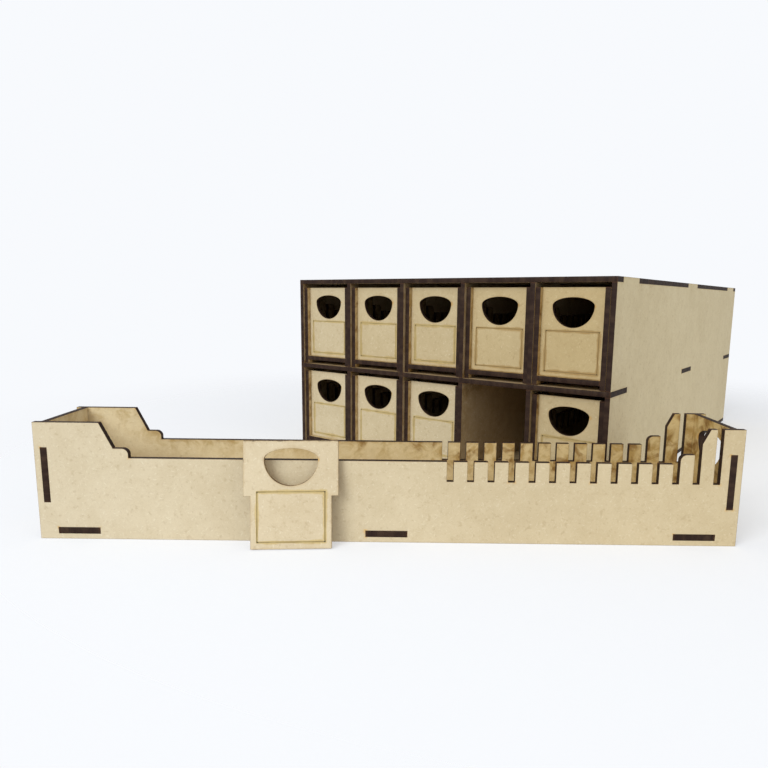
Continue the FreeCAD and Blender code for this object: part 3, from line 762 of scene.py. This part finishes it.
def floor_material(colour):
    """A pale floor that lets a share of the surround through, and fades out with distance
    from the middle of the scene."""
    s = Shading("pale_floor")
    place = s.place()
    away = s.add("ShaderNodeVectorMath", {0: place}, operation="LENGTH").outputs["Value"]
    fade = s.ramp(away, *FLOOR_FADE, start=FLOOR_CLEAR)
    grain = s.ramp(s.noise(place, 60.0), 0.3, 0.7, end=0.02)
    paper = s.tint(colour, grain, (0.8, 0.8, 0.8))
    inputs = {"Base Color": paper, "Roughness": 0.9, "Specular IOR Level": 0.1}
    surface = s.add("ShaderNodeBsdfPrincipled", inputs).outputs["BSDF"]
    clear = s.add("ShaderNodeBsdfTransparent", {}).outputs["BSDF"]
    both = s.add("ShaderNodeMixShader", {0: fade, 1: surface, 2: clear}).outputs[0]
    s.add("ShaderNodeOutputMaterial", {"Surface": both})
    return s.material


# -------- settings


def swatch(name, description, default):
    """A colour to pick."""
    return FloatVectorProperty(
        name=name, description=description, default=default, subtype="COLOR", min=0, max=1
    )


def length_setting(name, description, default):
    """A length in metres."""
    return FloatProperty(
        name=name, description=description, default=default, subtype="DISTANCE", unit="LENGTH"
    )


def angle_setting(name, description, degrees):
    """A turn, given in degrees and kept in radians."""
    turn = math.radians(degrees)
    return FloatProperty(
        name=name, description=description, default=turn, subtype="ANGLE", unit="ROTATION"
    )


class BoardFinish(bpy.types.PropertyGroup):
    """Colours of the boards, their smoke marks and their burnt edges."""

    cabinet: swatch("Cabinet face", "Outer faces of the panels", (0.725, 0.617, 0.39))
    bay: swatch("Bay face", "Faces inside the cabinet", (0.46, 0.345, 0.20))
    side: swatch("Drawer face", "Outer faces of drawer sides", (0.68, 0.578, 0.403))
    front: swatch("Front face", "Faces of the drawer fronts", (0.595, 0.493, 0.317))
    # painted shade: the darkness inside a closed drawer, seen through its hole
    smoked: swatch("Drawer shade", "Inside a closed drawer", (0.24, 0.175, 0.095))
    clean: swatch("Clean end", "Inner face before a drawer's front", (0.64, 0.50, 0.28))
    inside: swatch("Inner face", "Faces inside a drawer", (0.78, 0.662, 0.437))
    divider: swatch("Divider face", "Faces of the divider", (0.675, 0.56, 0.375))
    shade: swatch("Shade", "Broad darker patches", (0.90, 0.88, 0.84))
    dark_fleck: swatch("Dark fleck", "Dark fibres", (0.66, 0.58, 0.48))
    pale_fleck: swatch("Pale fleck", "Pale fibres", (0.24, 0.22, 0.17))
    # on the loose drawer's sides this tint also paints the shade that deepens towards the front
    golden: swatch("Golden tone", "Tint of warmer boards", (0.84, 0.75, 0.53))
    smoke: swatch("Smoke", "Stain beside a cut", (0.62, 0.46, 0.22))
    fume: swatch("Fume", "Soft stain inside", (0.60, 0.48, 0.25))
    scorch: swatch("Scorch", "Darkest stain inside", (0.40, 0.27, 0.11))
    flare: swatch("Flare", "Stain at a cut's corner", (1.0, 0.74, 0.34))
    soot: swatch("Soot", "Blackest char", (0.010, 0.006, 0.004))
    char: swatch("Char", "Burnt edge", (0.026, 0.013, 0.009))
    char_light: swatch("Pale char", "Paler burnt bands", (0.050, 0.028, 0.017))
    ember: swatch("Ember", "Edge at a corner", (0.085, 0.036, 0.016))
    line: swatch("Label line", "Scored line", (0.50, 0.39, 0.18))
    line_glow: swatch("Line glow", "Stain beside the line", (0.86, 0.76, 0.44))
    line_burnt: swatch("Burnt label line", "Line on warmer boards", (0.25, 0.145, 0.05))
    line_dark: swatch("Dark label line", "Deeper scored line", (0.33, 0.24, 0.10))
    toasted: swatch("Toasted edge", "Paler bands of the divider", (0.42, 0.30, 0.16))
    brown: swatch("Brown edge", "Burnt edge of the divider", (0.20, 0.125, 0.065))
    smoke_strength: FloatProperty(
        name="Smoke strength", description="Share of smoke in the colour right beside a cut",
        default=0.22, min=0, max=1, subtype="FACTOR",
    )


class BoardShape(bpy.types.PropertyGroup):
    """How finely the boards are made."""

    lip: length_setting("Lip", "Radius of the softened edge at each face", 0.08 * MM)
    spacing: length_setting("Spacing", "Longest step along a cut", 3.0 * MM)
    grid: length_setting("Grid", "Spacing of points far from a cut", 9.0 * MM)


class StageLook(bpy.types.PropertyGroup):
    """Camera, lights and floor."""

    azimuth: angle_setting("Azimuth", "The camera's turn from straight in front", 36.76)
    pitch: angle_setting("Pitch", "The camera's downward tilt", 9.305)
    roll: angle_setting("Roll", "The camera's turn about its own line of sight", 0.615)
    eye: FloatVectorProperty(
        name="Camera place", description="Where the camera stands",
        default=(0.23597, -0.51422, 0.11613), subtype="TRANSLATION", unit="LENGTH",
    )
    lens: FloatProperty(
        name="Lens", description="Focal length", default=29.593,
        subtype="DISTANCE_CAMERA", unit="CAMERA",
    )
    shift: FloatVectorProperty(
        name="Shift", description="Sensor shift as a share of its width",
        default=(-0.0259, 0.0236), size=2,
    )
    surround: swatch("Surround", "Colour of the background", (0.937, 0.955, 0.985))
    floor: swatch("Floor", "Colour of the floor", (0.905, 0.905, 0.92))
    ambient: FloatProperty(
        name="Ambient", description="Light from all round", default=0.62, min=0
    )
    key: FloatProperty(
        name="Key", description="Power of the soft light in front", default=40.0, unit="POWER"
    )
    fill: FloatProperty(
        name="Fill", description="Power of the lights at the sides", default=5.0, unit="POWER"
    )


# -------- operators


# how far from a cut each row of a face's points lies
FINE_REACHES = np.array([0.35, 0.9, 1.8, 3.1]) * MM
PLAIN_REACHES = np.array([0.45, 1.4, 3.0]) * MM
BAY_BOARD = ["bay_face", "bay_face", "charred_edge"]
DRAWERS = [f"drawer_upper_{i}" for i in range(1, 6)]
DRAWERS += [f"drawer_lower_{i}" for i in (1, 2, 3, 5)]
TONES = dict(zip(DRAWERS, (0.1, 0.34, 0.4, 0.64, 0.78, 0.0, 0.12, 0.0, 0.5)))
# each loose board's tone at its left and right ends; along the near and far sides it rises
# towards the front plate, partly for heavier stain there and partly as painted shade where the
# light falls off
LOOSE_TONES_AND_PAINTED_FALLOFF = {
    "front": (1.0, 1.0),
    "back": (0.1, 0.1),
    "near_side": (0.0, 0.5),
    "far_side": (1.0, 0.1),
    "floor": (0.2, 0.2),
}
# each face's colour setting, the smoke's reach in millimetres, the stain, the singe, and
# whether it is inside a closed drawer
FACES = {
    "panel_face": ("cabinet", 1.6, 0.0, 0.45),
    "bay_face": ("bay", 3.0, 0.9, 0.45),
    "drawer_face": ("side", 0.6, 0.0, 0.1),
    "front_face": ("front", 1.5, 0.0, 0.45),
    "drawer_inside": ("inside", 2.4, 0.8, 0.45),
    # inner faces of closed drawers: their stain and smoke, graded with painted shade behind the
    # front
    "smoked_inside": ("smoked", 2.4, 0.8, 0.45, True),
    "divider_face": ("divider", 1.4, 0.0, 0.1),
}
EDGES = {"charred_edge": ("char", "char_light"), "toasted_edge": ("brown", "toasted")}
FLOOR_CLEAR, FLOOR_FADE = 0.4, (0.22, 0.6)  # how clear it is, and where it fades out
FLOOR_SPOKES, FLOOR_RINGS, FLOOR_RADIUS = 64, 12, 6.0
LIGHTS_FACE = (0.03, -0.12, 0.05)
# each light's power setting, its share of that, its colour, size and place
LIGHTS = {
    "key_light": ("key", 1.0, (1.0, 1.0, 1.0), 2.4, (0.0, -2.8, 2.2)),
    "left_light": ("fill", 1.4, (0.86, 0.94, 1.0), 0.7, (0.0, -1.4, 0.7)),
    "right_light": ("fill", 0.7, (1.0, 0.93, 0.79), 1.2, (1.4, -0.3, 0.9)),
}
NEAREST, FURTHEST = 0.01, 60.0  # what the camera sees


def sampling(scene, reaches, coarse):
    """How closely some boards are made: the scene's spacings times coarse."""
    shape = scene.cabinet_shape
    return Sampling(shape.lip, shape.spacing * coarse, shape.grid * coarse, reaches)


def finish_named(name, looks):
    """The material of that name, made when it is first asked for."""
    if name in bpy.data.materials:
        return bpy.data.materials[name]
    if name == "scored_line":
        return line_material(looks)
    if name in EDGES:
        return edge_material(name, looks, *(getattr(looks, setting) for setting in EDGES[name]))
    setting, *facts = FACES[name]
    return face_material(name, looks, getattr(looks, setting), *facts)


def make(scene, node, body, shape, names, tone=(0.0, 0.0)):
    """Makes a node's piece with the named finishes: outer face, inner face, edge, line."""
    materials = [finish_named(name, scene.cabinet_finish) for name in names]
    piece = add_piece(node, body, shape, materials, tone)


class CABINET_OT_panels(bpy.types.Operator):
    """Make the five panels round the cabinet and the shelf between its rows"""

    bl_idname = "cabinet.panels"
    bl_label = "Panels and Shelf"

    def execute(self, context):
        scene = context.scene
        shape = sampling(scene, FINE_REACHES, coarse=1.3)
        names = ["panel_face", "bay_face", "charred_edge"]
        for part in ("top", "bottom", "left_side", "right_side", "back"):
            make(scene, part + "_panel", "cabinet", shape, names)
        make(scene, "middle_shelf", "cabinet", shape, BAY_BOARD)
        return {"FINISHED"}


class CABINET_OT_partitions(bpy.types.Operator):
    """Make the four upright boards between the bays"""

    bl_idname = "cabinet.partitions"
    bl_label = "Partitions"

    def execute(self, context):
        scene = context.scene
        shape = sampling(scene, PLAIN_REACHES, coarse=1.6)
        for i in range(1, 5):
            make(scene, f"partition_{i}", "cabinet", shape, BAY_BOARD)
        return {"FINISHED"}


class CABINET_OT_closed_drawers(bpy.types.Operator):
    """Make the nine drawers that stand in their bays"""

    bl_idname = "cabinet.closed_drawers"
    bl_label = "Closed Drawers"

    def execute(self, context):
        scene = context.scene
        plain = sampling(scene, PLAIN_REACHES, coarse=1.5)
        fine = sampling(scene, FINE_REACHES, coarse=0.6)
        sides = ["drawer_face", "smoked_inside", "charred_edge"]
        front = ["front_face", "smoked_inside", "charred_edge", "scored_line"]
        for body in DRAWERS:
            tone = (TONES[body],) * 2
            make(scene, body + "_front", body, fine, front, tone)
            for part in ("_sides", "_back", "_floor"):
                make(scene, body + part, body, plain, sides, tone)
        return {"FINISHED"}


class CABINET_OT_loose_drawer(bpy.types.Operator):
    """Make the drawer that stands in front of the cabinet"""

    bl_idname = "cabinet.loose_drawer"
    bl_label = "Loose Drawer"

    def execute(self, context):
        scene = context.scene
        shape = sampling(scene, FINE_REACHES, coarse=0.7)
        names = ["drawer_face", "drawer_inside", "charred_edge", "scored_line"]
        for part, tone in LOOSE_TONES_AND_PAINTED_FALLOFF.items():
            node = "loose_drawer_" + part
            make(scene, node, "loose_drawer", shape, names, tone)
        return {"FINISHED"}


class CABINET_OT_divider(bpy.types.Operator):
    """Make the divider plate that leans on the loose drawer"""

    bl_idname = "cabinet.divider"
    bl_label = "Divider Plate"

    def execute(self, context):
        scene = context.scene
        shape = sampling(scene, FINE_REACHES, coarse=0.5)
        names = ["divider_face", "divider_face", "toasted_edge", "scored_line"]
        make(scene, "divider_plate", "divider", shape, names)
        return {"FINISHED"}


class CABINET_OT_stage(bpy.types.Operator):
    """Set up the floor, the lights and the camera"""

    bl_idname = "cabinet.stage"
    bl_label = "Stage"

    def execute(self, context):
        scene = context.scene
        look = scene.cabinet_stage
        self.add_floor(scene, look)
        self.add_surround(scene, look)
        for name, (setting, share, *facts) in LIGHTS.items():
            self.add_light(scene, name, getattr(look, setting) * share, *facts)
        self.add_camera(scene, look)
        scene.view_settings.view_transform = "Standard"
        return {"FINISHED"}

    def add_floor(self, scene, look):
        """A disc: rings of points whose radius grows by the square of the ring number."""
        numbers = np.arange(1, FLOOR_RINGS + 1), np.arange(FLOOR_SPOKES)
        ring, spoke = np.meshgrid(*numbers, indexing="ij")
        angle = spoke * (2 * np.pi / FLOOR_SPOKES)
        reach = FLOOR_RADIUS * (ring / FLOOR_RINGS) ** 2
        points = np.stack([reach * np.cos(angle), reach * np.sin(angle), angle * 0], 2)
        points = np.concatenate([[[0.0, 0.0, 0.0]], points.reshape(-1, 3)])
        number = 1 + np.arange(ring.size).reshape(ring.shape)
        onward = np.roll(number, -1, 1)
        quads = np.stack([number[:-1], number[1:], onward[1:], onward[:-1]], 2)
        fan = np.stack([number[0] * 0, number[0], onward[0]], 1)
        data = bpy.data.meshes.new("floor")
        data.from_pydata(points.tolist(), [], quads.reshape(-1, 4).tolist() + fan.tolist())
        data.materials.append(floor_material(look.floor))
        floor = bpy.data.objects.new("floor", data)
        scene.collection.objects.link(floor)

    def add_surround(self, scene, look):
        """An even surround, at full strength to the eye and dimmer as a light."""
        world = bpy.data.worlds.new("surround")
        world.use_nodes = True
        nodes, links = world.node_tree.nodes, world.node_tree.links
        back = nodes["Background"]
        back.inputs["Color"].default_value = (*look.surround, 1)
        seen = nodes.new("ShaderNodeLightPath")
        level = nodes.new("ShaderNodeMapRange")
        level.inputs["To Min"].default_value = look.ambient
        links.new(seen.outputs["Is Camera Ray"], level.inputs["Value"])
        links.new(level.outputs["Result"], back.inputs["Strength"])
        scene.world = world

    def add_light(self, scene, name, power, colour, size, place):
        """A soft round light that faces the middle of the object."""
        place, aim = Vector(place), Vector(LIGHTS_FACE)
        data = bpy.data.lights.new(name, "AREA")
        data.shape = "DISK"
        data.size = size
        data.energy = power
        data.color = colour
        light = bpy.data.objects.new(name, data)
        light.location = place
        light.rotation_euler = (aim - place).to_track_quat("-Z", "Y").to_euler()
        scene.collection.objects.link(light)

    def add_camera(self, scene, look):
        """The camera's axes from its azimuth, pitch and roll, as columns of a matrix."""
        data = bpy.data.cameras.new("camera")
        data.lens = look.lens
        data.shift_x, data.shift_y = look.shift
        data.clip_start, data.clip_end = NEAREST, FURTHEST
        camera = bpy.data.objects.new("camera", data)
        turned = Matrix.Rotation(look.azimuth, 4, "Z")
        tilted = Matrix.Rotation(math.pi / 2 - look.pitch, 4, "X")
        rolled = Matrix.Rotation(look.roll, 4, "Z")
        camera.matrix_world = Matrix.Translation(look.eye) @ turned @ tilted @ rolled
        scene.collection.objects.link(camera)
        scene.camera = camera


class CABINET_PT_sidebar(bpy.types.Panel):
    """The cabinet's tab, with a button for each group of pieces and all the settings"""

    bl_idname = "CABINET_PT_sidebar"
    bl_label = "Drawer Cabinet"
    bl_space_type = "VIEW_3D"
    bl_region_type = "UI"
    bl_category = "Cabinet"

    def draw(self, context):
        column = self.layout.column()
        for operator in OPERATORS:
            column.operator(operator.bl_idname)
        for group in ("cabinet_finish", "cabinet_shape", "cabinet_stage"):
            settings = getattr(context.scene, group)
            for name in settings.bl_rna.properties.keys():
                if name not in ("rna_type", "name"):
                    column.prop(settings, name)


OPERATORS = (
    CABINET_OT_panels,
    CABINET_OT_partitions,
    CABINET_OT_closed_drawers,
    CABINET_OT_loose_drawer,
    CABINET_OT_divider,
    CABINET_OT_stage,
)
SETTINGS = (BoardFinish, BoardShape, StageLook)


def register():
    for cls in (*SETTINGS, *OPERATORS, CABINET_PT_sidebar):
        bpy.utils.register_class(cls)
    bpy.types.Scene.cabinet_finish = PointerProperty(type=BoardFinish)
    bpy.types.Scene.cabinet_shape = PointerProperty(type=BoardShape)
    bpy.types.Scene.cabinet_stage = PointerProperty(type=StageLook)


def unregister():
    for name in ("cabinet_stage", "cabinet_shape", "cabinet_finish"):
        delattr(bpy.types.Scene, name)
    for cls in (CABINET_PT_sidebar, *OPERATORS[::-1], *SETTINGS[::-1]):
        bpy.utils.unregister_class(cls)


def main():
    register()
    bpy.ops.cabinet.panels()
    bpy.ops.cabinet.partitions()
    bpy.ops.cabinet.closed_drawers()
    bpy.ops.cabinet.loose_drawer()
    bpy.ops.cabinet.divider()
    bpy.ops.cabinet.stage()


if __name__ == "__main__":
    main()
